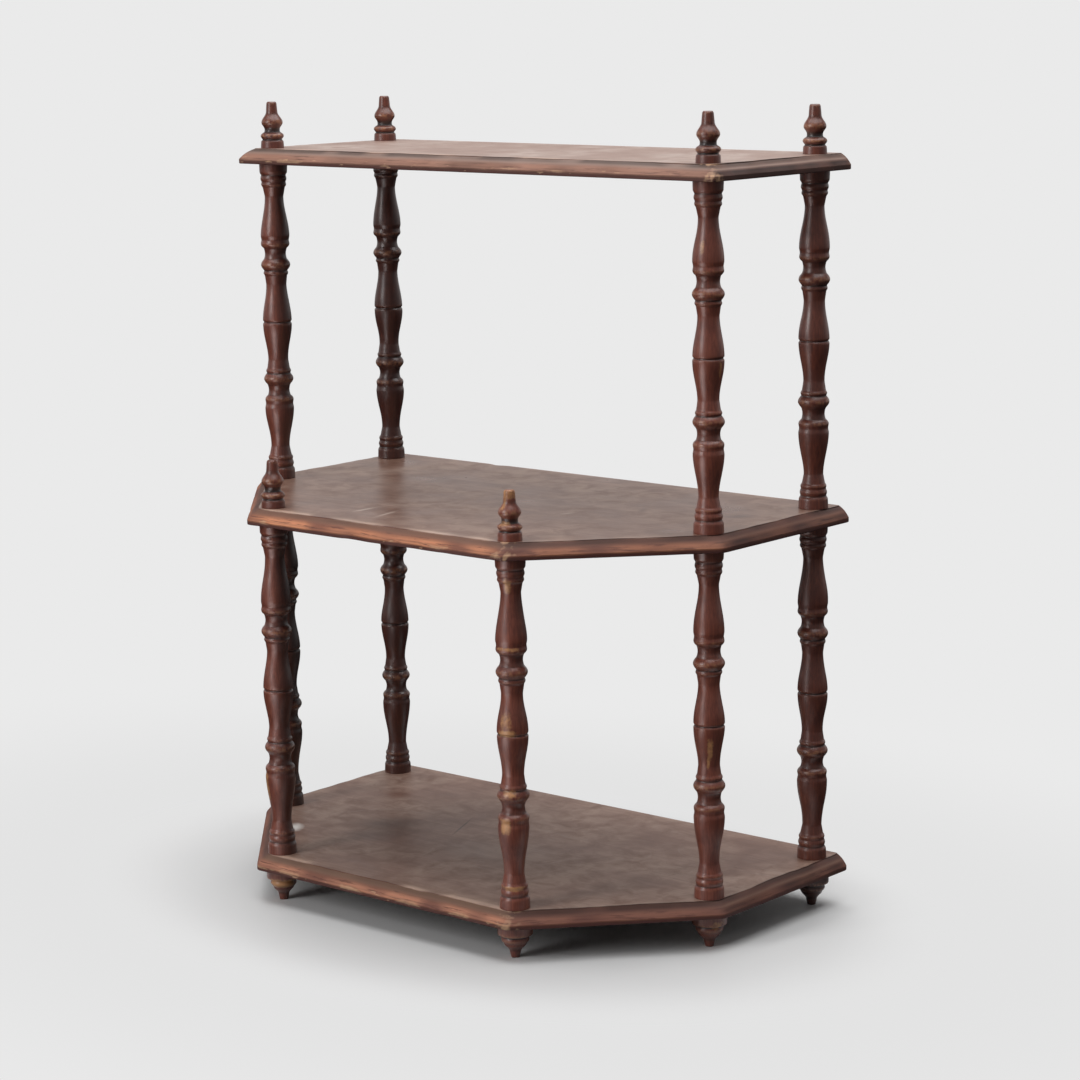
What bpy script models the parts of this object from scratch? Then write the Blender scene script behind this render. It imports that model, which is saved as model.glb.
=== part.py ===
"""Three-tier wall shelf on turned posts, modelled as the pieces it is joined from.

Each post is a stack of turned pieces. A round tenon on the lower end of every spindle and finial goes
through a bored hole in the shelf below it and into a blind socket in the spindle or foot under that shelf.
Metres, +Z up. The front faces -Y, and the origin is on the floor under the middle of the plan.
"""

import math

import bmesh
import bpy

# Plan of the posts, from axis to axis
POST_SPAN = 0.529
SIDE_POST_SETBACK = 0.162
FRONT_POST_SETBACK = 0.294
FRONT_POST_SPAN = 0.291

# Clear heights between the shelves
LOWER_BAY_HEIGHT = 0.3202
UPPER_BAY_HEIGHT = 0.311

# Shelf boards, with a rounded bevel on every edge but the back one
SHELF_THICKNESS = 0.0145
EDGE_OVERHANG = 0.0245
BACK_OVERHANG = 0.025
MOULDING_WIDTH = 0.011
MOULDING_QUIRK = 0.0018
MOULDING_ARRIS = 0.0044
MOULDING_BULGE = 0.0008
MOULDING_STEPS = 4

# Joints between the turned pieces and the shelves
TENON_RADIUS = 0.006
TENON_REACH = 0.012
TENON_CLEARANCE = 0.0003
SEAT_GAP = 0.0003

# Spindle, from its middle groove to either end, which are alike; the vase takes what length is left
GROOVE_RADIUS = 0.0128
GROOVE_HALF_WIDTH = 0.0014
BELLY_RADIUS = 0.0142
BELLY_RISE = 0.036
WAIST_RADIUS = 0.0098
WAIST_RISE = 0.0086
CUFF_FOOT_RADIUS = 0.011
CUFF_RADIUS = 0.0122
CUFF_RISE = 0.0046
KNUCKLE_QUIRK_RADIUS = 0.0113
KNUCKLE_RADIUS = 0.0144
KNUCKLE_RISE = 0.0114
NECK_EDGE_RADIUS = 0.0104
NECK_RADIUS = 0.009
NECK_RISE = 0.0106
LIP_RADIUS = 0.014
LIP_RISE = 0.0085
LIP_QUIRK_RADIUS = 0.0134
VASE_RADIUS = 0.0141
VASE_SHOULDER_RISE = 0.0035
THROAT_RADIUS = 0.0091
THROAT_RISE = 0.0088
BEAD_FOOT_RADIUS = 0.0108
INNER_BEAD_RADIUS = 0.0122
INNER_BEAD_RISE = 0.005
BEAD_QUIRK_RADIUS = 0.0115
OUTER_BEAD_RADIUS = 0.0127
OUTER_BEAD_RISE = 0.0065
COLLAR_QUIRK_RADIUS = 0.0118
COLLAR_NECK_RISE = 0.0025
COLLAR_INNER_RADIUS = 0.0134
COLLAR_RADIUS = 0.0138
COLLAR_RISE = 0.0092

# Finial, from the shelf up
FINIAL_BASE_RADIUS = 0.0112
FINIAL_SHOULDER_RADIUS = 0.0108
FINIAL_BASE_RISE = 0.0068
FINIAL_QUIRK_RADIUS = 0.009
FINIAL_QUIRK_RISE = 0.0014
FINIAL_RING_RADIUS = 0.0113
FINIAL_RING_RISE = 0.0074
FINIAL_NECK_RADIUS = 0.0064
FINIAL_NECK_RISE = 0.0026
FINIAL_BULB_RADIUS = 0.0097
FINIAL_BULB_RISE = 0.0066
FINIAL_STEM_RADIUS = 0.0052
FINIAL_STEM_RISE = 0.0104
FINIAL_TIP_RADIUS = 0.0044
FINIAL_TIP_RISE = 0.0082
FINIAL_CROWN_RADIUS = 0.0033
FINIAL_CROWN_RISE = 0.0011

# Foot, from the floor up
FOOT_TIP_RADIUS = 0.004
FOOT_STEM_RADIUS = 0.0052
FOOT_STEM_RISE = 0.0055
FOOT_CONE_RADIUS = 0.0104
FOOT_CONE_RISE = 0.008
FOOT_RING_RADIUS = 0.0126
FOOT_RING_RISE = 0.0068
FOOT_QUIRK_RADIUS = 0.0116
FOOT_QUIRK_RISE = 0.0012
FOOT_COLLAR_RADIUS = 0.016
FOOT_COLLAR_RISE = 0.01

# Facets of the turned pieces
TURNING_SIDES = 12
OGEE_STEPS = 3
BEAD_STEPS = 2
ROUND_STEPS = 4
SMOOTH_ANGLE = math.radians(40)
MERGE_DISTANCE = 0.00001

# Wood colours, linear RGB, with their roughness
TOP_SHELF_WOOD = ("faded stained pine, top", (0.400, 0.310, 0.270, 1), 0.55)
MIDDLE_SHELF_WOOD = ("faded stained pine, middle", (0.270, 0.205, 0.180, 1), 0.50)
BOTTOM_SHELF_WOOD = ("faded stained pine, bottom", (0.170, 0.115, 0.098, 1), 0.50)
SPINDLE_WOOD = ("stained birch, spindles", (0.085, 0.033, 0.025, 1), 0.38)
FINIAL_WOOD = ("stained birch, finials", (0.095, 0.040, 0.030, 1), 0.40)
FOOT_WOOD = ("stained birch, feet", (0.075, 0.032, 0.024, 1), 0.45)


class Turning:
    """Outline of a turned piece, drawn upwards as points of radius and height."""

    def __init__(self, radius, height=0.0):
        self.points = [(radius, height)]

    def line(self, radius, rise):
        """Straight to a radius, or square out to it where the rise is 0."""
        height = self.points[-1][1]
        self.points.append((radius, height + rise))

    def curve(self, rise, steps, radius_at):
        """Points whose radius is a function of the share of the rise."""
        height = self.points[-1][1]
        for step in range(1, steps + 1):
            share = step / steps
            self.points.append((radius_at(share), height + rise * share))

    def ogee(self, radius, rise):
        """An S-curve that leaves one radius and meets the next along the axis."""
        start = self.points[-1][0]
        self.curve(
            rise, OGEE_STEPS, lambda share: start + (radius - start) * (1 - math.cos(math.pi * share)) / 2
        )

    def bead(self, crest, end_radius, rise, steps=BEAD_STEPS):
        """A half-round that swells out to its crest, or a cove where the crest is the smaller radius."""
        start = self.points[-1][0]

        def radius_at(share):
            chord = start + (end_radius - start) * share
            return chord + (crest - chord) * math.sin(math.pi * share)

        self.curve(rise, steps, radius_at)

    def height(self):
        return self.points[-1][1]


def half_spindle(length):
    """Outline of a spindle of a given length, from its middle groove to one end."""
    belly_rise = GROOVE_HALF_WIDTH + BELLY_RISE + WAIST_RISE
    ring_rise = CUFF_RISE + KNUCKLE_RISE + NECK_RISE + LIP_RISE
    end_rise = THROAT_RISE + INNER_BEAD_RISE + OUTER_BEAD_RISE + COLLAR_NECK_RISE + COLLAR_RISE
    vase_rise = length / 2 - belly_rise - ring_rise - VASE_SHOULDER_RISE - end_rise
    half = Turning(GROOVE_RADIUS)
    half.line(BELLY_RADIUS, GROOVE_HALF_WIDTH)
    half.ogee(WAIST_RADIUS, BELLY_RISE)
    half.line(CUFF_FOOT_RADIUS, WAIST_RISE)
    half.bead(CUFF_RADIUS, KNUCKLE_QUIRK_RADIUS, CUFF_RISE)
    half.bead(KNUCKLE_RADIUS, NECK_EDGE_RADIUS, KNUCKLE_RISE, ROUND_STEPS)
    half.bead(NECK_RADIUS, NECK_EDGE_RADIUS, NECK_RISE)
    half.bead(LIP_RADIUS, LIP_QUIRK_RADIUS, LIP_RISE)
    half.line(VASE_RADIUS, VASE_SHOULDER_RISE)
    half.ogee(THROAT_RADIUS, vase_rise)
    half.line(BEAD_FOOT_RADIUS, THROAT_RISE)
    half.bead(INNER_BEAD_RADIUS, BEAD_QUIRK_RADIUS, INNER_BEAD_RISE)
    half.bead(OUTER_BEAD_RADIUS, COLLAR_QUIRK_RADIUS, OUTER_BEAD_RISE)
    half.line(COLLAR_INNER_RADIUS, COLLAR_NECK_RISE)
    half.line(COLLAR_RADIUS, COLLAR_RISE)
    return half


def tenon_outline():
    """The tenon under a piece whose shoulder is at height 0, from its end on the axis to the shoulder."""
    length = SEAT_GAP + SHELF_THICKNESS + SEAT_GAP + TENON_REACH
    return [(0.0, -length), (TENON_RADIUS, -length), (TENON_RADIUS, 0.0)]


def socket_outline(mouth):
    """The blind socket in the top of a piece, from its mouth down to the axis."""
    radius = TENON_RADIUS + TENON_CLEARANCE
    bottom = mouth - TENON_REACH - SEAT_GAP
    return [(radius, mouth), (radius, bottom), (0.0, bottom)]


def spindle_outline(bay_height):
    """The spindle that stands in a bay, with its tenon and socket, the shoulder at height 0."""
    length = bay_height - 2 * SEAT_GAP
    middle = length / 2
    half = half_spindle(length)
    lower = [(radius, middle - height) for radius, height in reversed(half.points)]
    upper = [(radius, middle + height) for radius, height in half.points[1:]]
    return tenon_outline() + lower + upper + socket_outline(length)


def finial_outline():
    """A finial with its tenon, the shoulder at height 0."""
    finial = Turning(FINIAL_BASE_RADIUS)
    finial.line(FINIAL_SHOULDER_RADIUS, FINIAL_BASE_RISE)
    finial.line(FINIAL_QUIRK_RADIUS, FINIAL_QUIRK_RISE)
    finial.bead(FINIAL_RING_RADIUS, FINIAL_NECK_RADIUS, FINIAL_RING_RISE, ROUND_STEPS)
    finial.line(FINIAL_NECK_RADIUS, FINIAL_NECK_RISE)
    finial.ogee(FINIAL_BULB_RADIUS, FINIAL_BULB_RISE)
    finial.ogee(FINIAL_STEM_RADIUS, FINIAL_STEM_RISE)
    finial.line(FINIAL_TIP_RADIUS, FINIAL_TIP_RISE)
    finial.line(FINIAL_CROWN_RADIUS, FINIAL_CROWN_RISE)
    return tenon_outline() + finial.points + [(0.0, finial.height())]


def foot_turning():
    """Outline of a foot from the floor to its seat under the bottom shelf."""
    foot = Turning(FOOT_TIP_RADIUS)
    foot.line(FOOT_STEM_RADIUS, FOOT_STEM_RISE)
    foot.ogee(FOOT_CONE_RADIUS, FOOT_CONE_RISE)
    foot.bead(FOOT_RING_RADIUS, FOOT_QUIRK_RADIUS, FOOT_RING_RISE)
    foot.line(FOOT_COLLAR_RADIUS, FOOT_QUIRK_RISE)
    foot.line(FOOT_COLLAR_RADIUS, FOOT_COLLAR_RISE)
    return foot


def foot_outline():
    """A whole foot with its socket, standing at height 0."""
    foot = foot_turning()
    return [(0.0, 0.0)] + foot.points + socket_outline(foot.height())


def finished_mesh(name, shape):
    """Turns a bmesh into a mesh with outward faces and smooth shading over its round stretches."""
    bmesh.ops.recalc_face_normals(shape, faces=shape.faces)
    mesh = bpy.data.meshes.new(name)
    shape.to_mesh(mesh)
    shape.free()
    mesh.shade_smooth()
    mesh.set_sharp_from_angle(angle=SMOOTH_ANGLE)
    return mesh


def spin_outline(shape, outline, centre):
    """Spins an outline that starts and ends on its axis into a closed body."""
    points = [shape.verts.new((centre[0] + radius, centre[1], height)) for radius, height in outline]
    edges = [shape.edges.new(pair) for pair in zip(points, points[1:])]
    bmesh.ops.spin(
        shape,
        geom=points + edges,
        cent=(centre[0], centre[1], 0.0),
        axis=(0.0, 0.0, 1.0),
        angle=2 * math.pi,
        steps=TURNING_SIDES,
        use_merge=True,
    )


def turned_mesh(name, outline):
    """A turned piece about its own Z axis."""
    shape = bmesh.new()
    spin_outline(shape, outline, (0.0, 0.0))
    bmesh.ops.remove_doubles(shape, verts=shape.verts, dist=MERGE_DISTANCE)
    return finished_mesh(name, shape)


def crossing(line_a, line_b):
    """Where two lines meet, each given as a unit normal and a distance along it."""
    (ax, ay), a = line_a
    (bx, by), b = line_b
    cross = ax * by - ay * bx
    return ((a * by - b * ay) / cross, (ax * b - bx * a) / cross)


def offset_outline(corners, offsets):
    """Moves each side of a counter-clockwise outline outwards by its own offset."""
    lines = []
    for (x, y), (next_x, next_y), offset in zip(corners, corners[1:] + corners[:1], offsets):
        length = math.hypot(next_x - x, next_y - y)
        normal = ((next_y - y) / length, (x - next_x) / length)
        lines.append((normal, normal[0] * x + normal[1] * y + offset))
    return [crossing(before, after) for before, after in zip(lines[-1:] + lines[:-1], lines)]


def moulding_profile():
    """Insets from a shelf's edge and heights over its underside: arris, bulging bevel, quirk."""
    rise = SHELF_THICKNESS - MOULDING_QUIRK - MOULDING_ARRIS
    slope = math.hypot(MOULDING_WIDTH, rise)
    profile = [(0.0, 0.0)]
    for step in range(MOULDING_STEPS + 1):
        share = step / MOULDING_STEPS
        bulge = MOULDING_BULGE * math.sin(math.pi * share)
        inset = MOULDING_WIDTH * share - bulge * rise / slope
        profile.append((inset, MOULDING_ARRIS + rise * share + bulge * MOULDING_WIDTH / slope))
    profile.append((MOULDING_WIDTH, SHELF_THICKNESS))
    return profile


def board_mesh(name, posts):
    """A shelf board round its post axes, counter-clockwise with the back side first, underside at 0."""
    shape = bmesh.new()
    rings = []
    for inset, height in moulding_profile():
        offsets = [BACK_OVERHANG] + [EDGE_OVERHANG - inset] * (len(posts) - 1)
        rings.append([shape.verts.new((x, y, height)) for x, y in offset_outline(posts, offsets)])
    for lower, upper in zip(rings, rings[1:]):
        for here, after in zip(range(len(posts)), list(range(1, len(posts))) + [0]):
            shape.faces.new((lower[here], lower[after], upper[after], upper[here]))
    shape.faces.new(rings[0])
    shape.faces.new(rings[-1])
    return finished_mesh(name, shape)


def bores_mesh(name, posts):
    """The through-holes of a board, one round cutter on each post axis."""
    radius = TENON_RADIUS + TENON_CLEARANCE
    low = -SHELF_THICKNESS
    high = 2 * SHELF_THICKNESS
    shape = bmesh.new()
    for post in posts:
        spin_outline(shape, [(0.0, low), (radius, low), (radius, high), (0.0, high)], post)
    bmesh.ops.remove_doubles(shape, verts=shape.verts, dist=MERGE_DISTANCE)
    return finished_mesh(name, shape)


def wood(finish):
    """A Principled material for one stained wood."""
    name, colour, roughness = finish
    material = bpy.data.materials.new(name)
    material.use_nodes = True
    shader = material.node_tree.nodes["Principled BSDF"]
    shader.inputs["Base Color"].default_value = colour
    shader.inputs["Roughness"].default_value = roughness
    shader.inputs["Metallic"].default_value = 0.0
    return material


def place(name, mesh, location, parent):
    """Adds one named piece at its place."""
    piece = bpy.data.objects.new(name, mesh)
    piece.location = location
    piece.parent = parent
    bpy.context.collection.objects.link(piece)
    return piece


def place_board(name, posts, finish, height, parent):
    """Adds a shelf board with its bored holes."""
    mesh = board_mesh(name, posts)
    mesh.materials.append(wood(finish))
    board = place(name, mesh, (0.0, 0.0, height), parent)
    cutter = place(name + "_bores", bores_mesh(name + "_bores", posts), (0.0, 0.0, height), parent)
    cutter.hide_render = True
    cutter.display_type = "WIRE"
    bores = board.modifiers.new("bores", "BOOLEAN")
    bores.operation = "DIFFERENCE"
    bores.solver = "EXACT"
    bores.object = cutter


def place_turned(prefix, outline, finish, posts, height, parent):
    """Adds one turned piece on each named post axis."""
    mesh = turned_mesh(prefix, outline)
    mesh.materials.append(wood(finish))
    for post, (x, y) in posts.items():
        place(prefix + "_" + post, mesh, (x, y, height), parent)


def post_axes():
    """The post axes in plan, back ones first and then counter-clockwise round the shelf."""
    depth = BACK_OVERHANG + FRONT_POST_SETBACK + EDGE_OVERHANG
    back = depth / 2 - BACK_OVERHANG
    side = back - SIDE_POST_SETBACK
    front = back - FRONT_POST_SETBACK
    return {
        "back_right": (POST_SPAN / 2, back),
        "back_left": (-POST_SPAN / 2, back),
        "side_left": (-POST_SPAN / 2, side),
        "front_left": (-FRONT_POST_SPAN / 2, front),
        "front_right": (FRONT_POST_SPAN / 2, front),
        "side_right": (POST_SPAN / 2, side),
    }


def main():
    for old in list(bpy.data.objects):
        bpy.data.objects.remove(old)
    shelf = bpy.data.objects.new("wall_shelf", None)
    bpy.context.collection.objects.link(shelf)

    posts = post_axes()
    tall_posts = {name: axis for name, axis in posts.items() if not name.startswith("front")}
    front_posts = {name: axis for name, axis in posts.items() if name.startswith("front")}

    bottom_board = foot_turning().height() + SEAT_GAP
    middle_board = bottom_board + SHELF_THICKNESS + LOWER_BAY_HEIGHT
    top_board = middle_board + SHELF_THICKNESS + UPPER_BAY_HEIGHT
    seat = SHELF_THICKNESS + SEAT_GAP

    lower_plan = list(posts.values())
    lower_outline = spindle_outline(LOWER_BAY_HEIGHT)
    upper_outline = spindle_outline(UPPER_BAY_HEIGHT)
    place_turned("foot", foot_outline(), FOOT_WOOD, posts, 0.0, shelf)
    place_board("bottom_shelf", lower_plan, BOTTOM_SHELF_WOOD, bottom_board, shelf)
    place_turned("lower_spindle", lower_outline, SPINDLE_WOOD, posts, bottom_board + seat, shelf)
    place_board("middle_shelf", lower_plan, MIDDLE_SHELF_WOOD, middle_board, shelf)
    place_turned("middle_finial", finial_outline(), FINIAL_WOOD, front_posts, middle_board + seat, shelf)
    place_turned("upper_spindle", upper_outline, SPINDLE_WOOD, tall_posts, middle_board + seat, shelf)
    place_board("top_shelf", list(tall_posts.values()), TOP_SHELF_WOOD, top_board, shelf)
    place_turned("top_finial", finial_outline(), FINIAL_WOOD, tall_posts, top_board + seat, shelf)


main()
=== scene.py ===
"""Wall shelf with three moulded boards on turned posts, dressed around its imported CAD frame.

Each board, spindle, finial and foot of the frame gets a fine surface in its own place, in stained and
worn wood, and a pale studio stands round it. Lengths are metres and angles are degrees.
"""

import logging
import math
from dataclasses import dataclass, field
from enum import Enum

import bpy
import numpy as np
from bpy.types import Material, Mesh, NodeSocket, NodeTree, Object
from mathutils import Euler, Matrix, Vector


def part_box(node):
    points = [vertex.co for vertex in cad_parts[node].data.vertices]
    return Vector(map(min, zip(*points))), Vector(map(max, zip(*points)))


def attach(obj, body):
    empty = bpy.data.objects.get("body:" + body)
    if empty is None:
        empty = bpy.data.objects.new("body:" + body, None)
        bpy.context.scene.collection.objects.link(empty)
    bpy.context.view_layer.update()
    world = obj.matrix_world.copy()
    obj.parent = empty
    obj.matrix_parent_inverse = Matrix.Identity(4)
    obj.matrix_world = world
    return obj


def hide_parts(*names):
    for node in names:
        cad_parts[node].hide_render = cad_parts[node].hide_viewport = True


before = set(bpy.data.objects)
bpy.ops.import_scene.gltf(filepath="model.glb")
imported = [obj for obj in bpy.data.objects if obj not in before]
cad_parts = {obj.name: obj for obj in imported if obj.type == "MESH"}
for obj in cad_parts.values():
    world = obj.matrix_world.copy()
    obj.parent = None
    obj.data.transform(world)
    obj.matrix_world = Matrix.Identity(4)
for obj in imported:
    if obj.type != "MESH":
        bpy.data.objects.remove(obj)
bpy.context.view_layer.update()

LOG = logging.getLogger("wall_shelf")
BODY = "root"
Triple = tuple[float, float, float]
POSTS = ("back_right", "back_left", "side_left", "front_left", "front_right", "side_right")
SHORT_POSTS = ("back_right", "back_left", "side_left", "side_right")
VARNISH_IOR = 1.5

# Sockets of a map range node, in the order in which the tables of shares give their values.
SPAN = ("Value", "From Min", "From Max", "To Max")
# Values for a share that is used as it is.
WHOLE = (0.0, 1.0, 1.0)


class Side(Enum):
    """The edges of a board, anticlockwise from above."""

    BACK = "back"
    LEFT = "left"
    LEFT_SLANT = "left_slant"
    FRONT = "front"
    RIGHT_SLANT = "right_slant"
    RIGHT = "right"


def linear(code: str) -> tuple[float, float, float, float]:
    """Turns an sRGB hex colour to linear light.

    Args:
        code: Colour as "#rrggbb".

    Returns:
        Linear red, green and blue, and an alpha of one.
    """
    shares = np.array([int(code[k : k + 2], 16) for k in (1, 3, 5)]) / 255
    light = np.where(shares <= 0.04045, shares / 12.92, ((shares + 0.055) / 1.055) ** 2.4)
    return (*light.tolist(), 1.0)


def add_node(tree: NodeTree, kind: str, inputs: dict, output: str | int = 0, **settings) -> NodeSocket:
    """Adds a shader node, sets its properties, and links or sets its inputs.

    Args:
        tree: Node tree that takes the node.
        kind: Blender's type name of the node, without the words ShaderNode before it.
        inputs: Socket name or number to another node's output socket, or to a constant.
        output: Name or number of the output that is wanted.
        **settings: Properties of the node itself.

    Returns:
        The output socket that is wanted.
    """
    node = tree.nodes.new(f"ShaderNode{kind}")
    for key, value in settings.items():
        setattr(node, key, value)
    for key, source in inputs.items():
        if isinstance(source, NodeSocket):
            tree.links.new(source, node.inputs[key])
        else:
            node.inputs[key].default_value = source
    return node.outputs[output]


def pattern(
    tree: NodeTree,
    place: NodeSocket,
    sizes: Triple,
    detail: float,
    roughness: float,
    distortion: float = 0.0,
) -> NodeSocket:
    """Draws a random pattern with its own size along each axis.

    Args:
        tree: Node tree that takes the nodes.
        place: Coordinates that the pattern is drawn over.
        sizes: Typical size of the pattern along X, Y and Z.
        detail: Number of finer layers in it.
        roughness: Strength of each finer layer against the one before.
        distortion: How far the pattern is warped.

    Returns:
        Values from 0 to 1, most of them near one half.
    """
    stretch = {"Vector": place, "Scale": [1 / size for size in sizes]}
    drawn = add_node(tree, "Mapping", stretch)
    noise = {"Vector": drawn, "Scale": 1.0, "Detail": detail}
    noise |= {"Roughness": roughness, "Distortion": distortion}
    return add_node(tree, "TexNoise", noise)


def overlay(tree: NodeTree, colour: NodeSocket | tuple, layers: list[tuple]) -> NodeSocket:
    """Lays tones over a colour, one after the other, each where its own share is high.

    Args:
        tree: Node tree that takes the nodes.
        colour: The colour below, as a socket or as linear light.
        layers: For each tone: the socket of its share, the value where the tone starts, the value
            where it is full, its greatest strength, and the tone as a hex colour or a socket.

    Returns:
        The colour with every tone on it.
    """
    for *values, tone in layers:
        share = add_node(tree, "MapRange", dict(zip(SPAN, values)))
        pair = {0: share, 6: colour, 7: linear(tone) if isinstance(tone, str) else tone}
        colour = add_node(tree, "Mix", pair, data_type="RGBA", output=2)
    return colour


def wander(places: np.ndarray, size: float, seed: int) -> np.ndarray:
    """Smooth random swell: the sum of many sine waves with random directions, lengths and phases.

    Args:
        places: Points, with their coordinates on the last axis.
        size: Typical distance from one crest to the next.
        seed: Picks one swell of the kind.

    Returns:
        One value for each point, with a mean near zero and a spread near one.
    """
    draw = np.random.default_rng(seed)
    count = 28
    ways = draw.normal(size=(places.shape[-1], count))
    ways /= np.linalg.norm(ways, axis=0)
    lengths = size * draw.uniform(0.7, 1.7, count)
    phases = draw.uniform(0, 2 * np.pi, count)
    waves = np.sin(2 * np.pi * (places @ (ways / lengths)) + phases)
    return waves.sum(axis=-1) / math.sqrt(count / 2)


def step_up(values: np.ndarray, low: float, high: float) -> np.ndarray:
    """Smooth step: 0 below low, 1 above high, and 3t^2 - 2t^3 in between."""
    share = np.clip((values - low) / (high - low), 0, 1)
    return share * share * (3 - 2 * share)


def bell(values: np.ndarray, middle: float, reach: float) -> np.ndarray:
    """Bell shape: exp(-t^2), where t is the distance from the middle over the reach."""
    return np.exp(-(((values - middle) / reach) ** 2))


def softened(values: np.ndarray, passes: int) -> np.ndarray:
    """Replaces each value by the 1-2-1 mean of its neighbours, many times over, with both ends held."""
    for _ in range(passes):
        inner = (values[:-2] + 2 * values[1:-1] + values[2:]) / 4
        values = np.concatenate([values[:1], inner, values[-1:]])
    return values


def grid_mesh(name: str, points: np.ndarray, shades: dict[str, np.ndarray]) -> Mesh:
    """Closes a grid of points into a skin.

    Each row is a ring, anticlockwise from above, and the rows go from the underside to the top. Quads
    join neighbouring rings, and a fan of triangles to the ring's mean point closes each end.

    Args:
        name: Name of the mesh.
        points: Array of rows, columns and xyz.
        shades: Attribute name to an array of rows and columns.

    Returns:
        The mesh, smooth shaded, with the attributes on its points.
    """
    rows, columns, _ = points.shape
    ends = points[[0, -1]].mean(axis=1)
    places = np.concatenate([points.reshape(-1, 3), ends])
    ring = np.arange(rows * columns).reshape(rows, columns)
    after = np.roll(ring, -1, axis=1)
    quads = np.stack([ring[:-1], after[:-1], after[1:], ring[1:]], axis=-1).reshape(-1, 4)
    low_fan = np.stack([np.full(columns, rows * columns), after[0], ring[0]], axis=-1)
    high_fan = np.stack([np.full(columns, rows * columns + 1), ring[-1], after[-1]], axis=-1)
    corners = np.concatenate([quads.ravel(), low_fan.ravel(), high_fan.ravel()])
    sizes = np.concatenate([np.full(len(quads), 4), np.full(2 * columns, 3)])
    mesh = bpy.data.meshes.new(name)
    mesh.vertices.add(len(places))
    mesh.vertices.foreach_set("co", places.astype(np.float32).ravel())
    mesh.loops.add(len(corners))
    mesh.loops.foreach_set("vertex_index", corners.astype(np.int32))
    mesh.polygons.add(len(sizes))
    mesh.polygons.foreach_set("loop_start", (np.cumsum(sizes) - sizes).astype(np.int32))
    mesh.update(calc_edges=True)
    mesh.shade_smooth()
    for key, values in shades.items():
        tips = values[[0, -1]].mean(axis=1)
        attribute = mesh.attributes.new(key, "FLOAT", "POINT")
        attribute.data.foreach_set("value", np.concatenate([values.ravel(), tips]).astype(np.float32))
    return mesh


def add_piece(mesh: Mesh, material: Material, node: str) -> Object:
    """Puts a mesh into the scene in place of a CAD node.

    Args:
        mesh: Finished mesh, in the frame of the part.
        material: Its finish.
        node: CAD node that it stands for.

    Returns:
        The new object.
    """
    mesh.materials.append(material)
    piece = bpy.data.objects.new(mesh.name, mesh)
    bpy.context.scene.collection.objects.link(piece)
    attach(piece, BODY)
    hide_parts(node)
    LOG.info("%s: %d faces for %s", piece.name, len(mesh.polygons), node)
    return piece


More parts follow.
